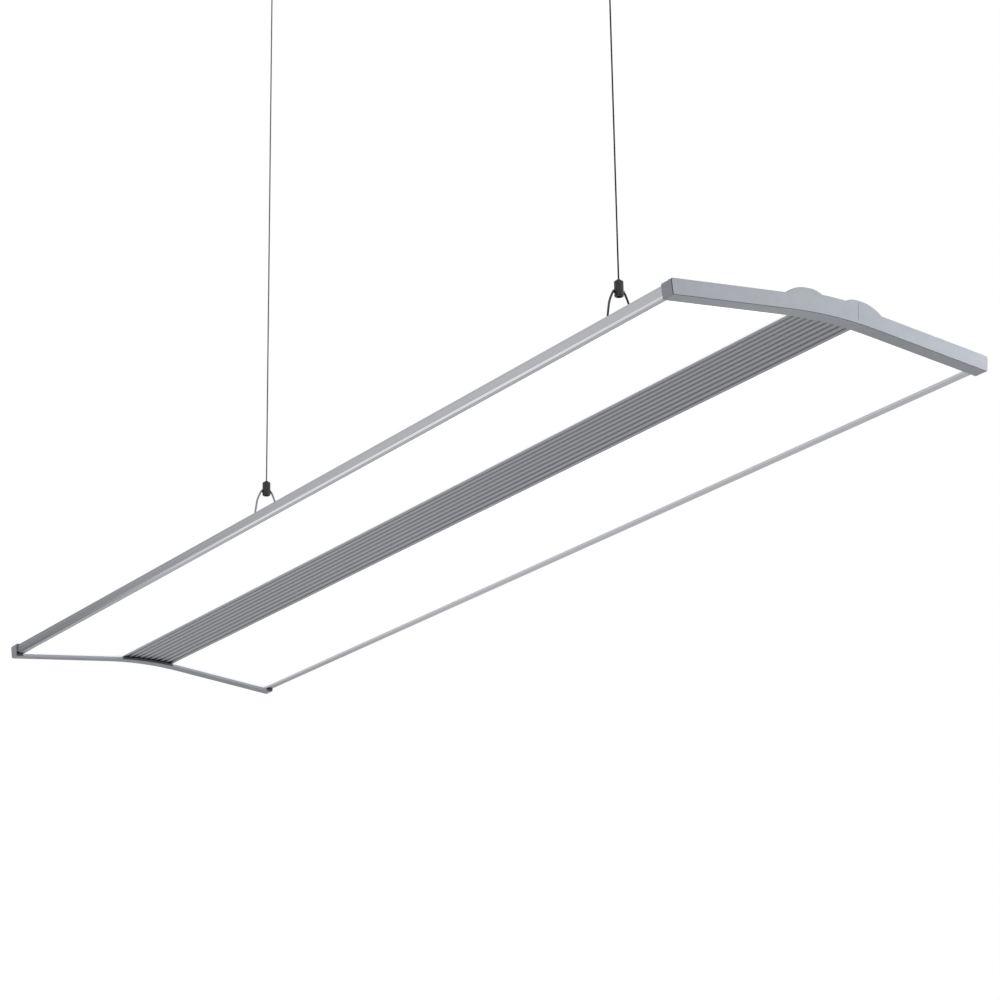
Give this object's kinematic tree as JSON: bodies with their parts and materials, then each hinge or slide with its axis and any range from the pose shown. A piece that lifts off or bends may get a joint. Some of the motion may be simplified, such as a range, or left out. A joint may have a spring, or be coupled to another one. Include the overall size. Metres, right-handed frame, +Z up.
{
  "type": "linear pendant light",
  "caption": "Slim gull-wing linear pendant light with opal panels on a ribbed aluminium spine, hung level on steel cables with height-adjusting grippers and wire bails.",
  "frame": {"origin": "on the ceiling, midway between the two cable fixings", "axes": "+Y along the light from its near end to its far end, +X to the right seen from the near end, +Z up"},
  "size_m": [0.3164, 1.2, 0.7593],
  "materials": {
    "satin_aluminium": "satin anodised",
    "grey_anodised": "grey anodised, extruded ribs",
    "silver_paint": "silver grey paint, satin",
    "opal_acrylic": "opal, lit from the edge",
    "clear_acrylic": "clear, dotted on its back",
    "white_film": "white, matt",
    "led_yellow": "phosphor",
    "white_plastic": "moulded",
    "lead_sheath": "smooth",
    "black_rubber": "moulded",
    "bright_steel": "zinc plated",
    "wire_steel": "drawn wire",
    "cable_steel": "stranded",
    "black_metal": "black nickel, satin",
    "satin_nickel": "satin nickel, turned"
  },
  "bodies": {
    "ceiling": {"near_ceiling_base": "satin_nickel", "near_ceiling_cap": "satin_nickel", "far_ceiling_base": "satin_nickel", "far_ceiling_cap": "satin_nickel"},
    "ball_stops": {"near_ball_stop": "bright_steel", "far_ball_stop": "bright_steel"},
    "near_cable": {"near_cable": "cable_steel"},
    "far_cable": {"far_cable": "cable_steel"},
    "near_gripper": {"near_gripper_body": "black_metal", "near_bail": "wire_steel", "near_release_spring": "bright_steel"},
    "near_release": {"near_release_nozzle": "black_metal", "near_grip_balls": "bright_steel"},
    "far_gripper": {"far_gripper_body": "black_metal", "far_bail": "wire_steel", "far_release_spring": "bright_steel"},
    "far_release": {"far_release_nozzle": "black_metal", "far_grip_balls": "bright_steel"},
    "luminaire": {"left_rail": "satin_aluminium", "right_rail": "satin_aluminium", "left_back_plate": "satin_aluminium", "right_back_plate": "satin_aluminium", "driver_cover": "satin_aluminium", "spine": "grey_anodised", "near_end_cap": "silver_paint", "far_end_cap": "silver_paint", "left_diffuser": "opal_acrylic", "right_diffuser": "opal_acrylic", "left_light_guide": "clear_acrylic", "right_light_guide": "clear_acrylic", "left_reflector": "white_film", "right_reflector": "white_film", "left_led_strip": "white_film", "right_led_strip": "white_film", "left_led_chips": "led_yellow", "right_led_chips": "led_yellow", "left_driver": "white_plastic", "right_driver": "white_plastic", "terminal_block": "white_plastic", "left_led_lead": "lead_sheath", "right_led_lead": "lead_sheath", "left_supply_lead": "lead_sheath", "right_supply_lead": "lead_sheath", "inlet_grommet": "black_rubber", "cover_spacers": "bright_steel", "cover_screws": "bright_steel", "end_cap_screws": "bright_steel", "bracket_screws": "bright_steel", "near_bail_brackets": "bright_steel", "far_bail_brackets": "bright_steel"}
  },
  "joints": [
    {"name": "side_swing", "type": "hinge", "parent": "ceiling", "child": "ball_stops", "pos_m": [0, 0, -0.019], "axis": [0, 1, 0], "range_deg": [-10, 10]},
    {"name": "end_sway", "type": "hinge", "parent": "ball_stops", "child": "near_cable", "pos_m": [0, -0.3175, -0.019], "axis": [1, 0, 0], "range_deg": [-8, 8]},
    {"name": "far_sway", "type": "hinge", "parent": "ball_stops", "child": "far_cable", "pos_m": [0, 0.3175, -0.019], "axis": [1, 0, 0], "range_deg": [-8, 8]},
    {"name": "height_adjust", "type": "slide", "parent": "near_cable", "child": "near_gripper", "axis": [0, 0, 1], "range_m": [0, 0.085]},
    {"name": "far_height", "type": "slide", "parent": "far_cable", "child": "far_gripper", "axis": [0, 0, 1], "range_m": [0, 0.085]},
    {"name": "bail_pivot", "type": "hinge", "parent": "near_gripper", "child": "luminaire", "pos_m": [0, -0.3175, -0.72397], "axis": [1, 0, 0], "range_deg": [-8, 8]},
    {"name": "near_release_press", "type": "slide", "parent": "near_gripper", "child": "near_release", "axis": [0, 0, -1], "range_m": [0, 0.0011], "stiffness_N_per_m": 600, "springref_m": -0.004, "deforming": ["near_release_spring"]},
    {"name": "far_release_press", "type": "slide", "parent": "far_gripper", "child": "far_release", "axis": [0, 0, -1], "range_m": [0, 0.0011], "stiffness_N_per_m": 600, "springref_m": -0.004, "deforming": ["far_release_spring"]}
  ],
  "couplings": [
    {"joint": "far_sway", "follows": "end_sway", "ratio": 1},
    {"joint": "bail_pivot", "follows": "end_sway", "ratio": -1},
    {"joint": "far_height", "follows": "height_adjust", "ratio": 1}
  ]
}
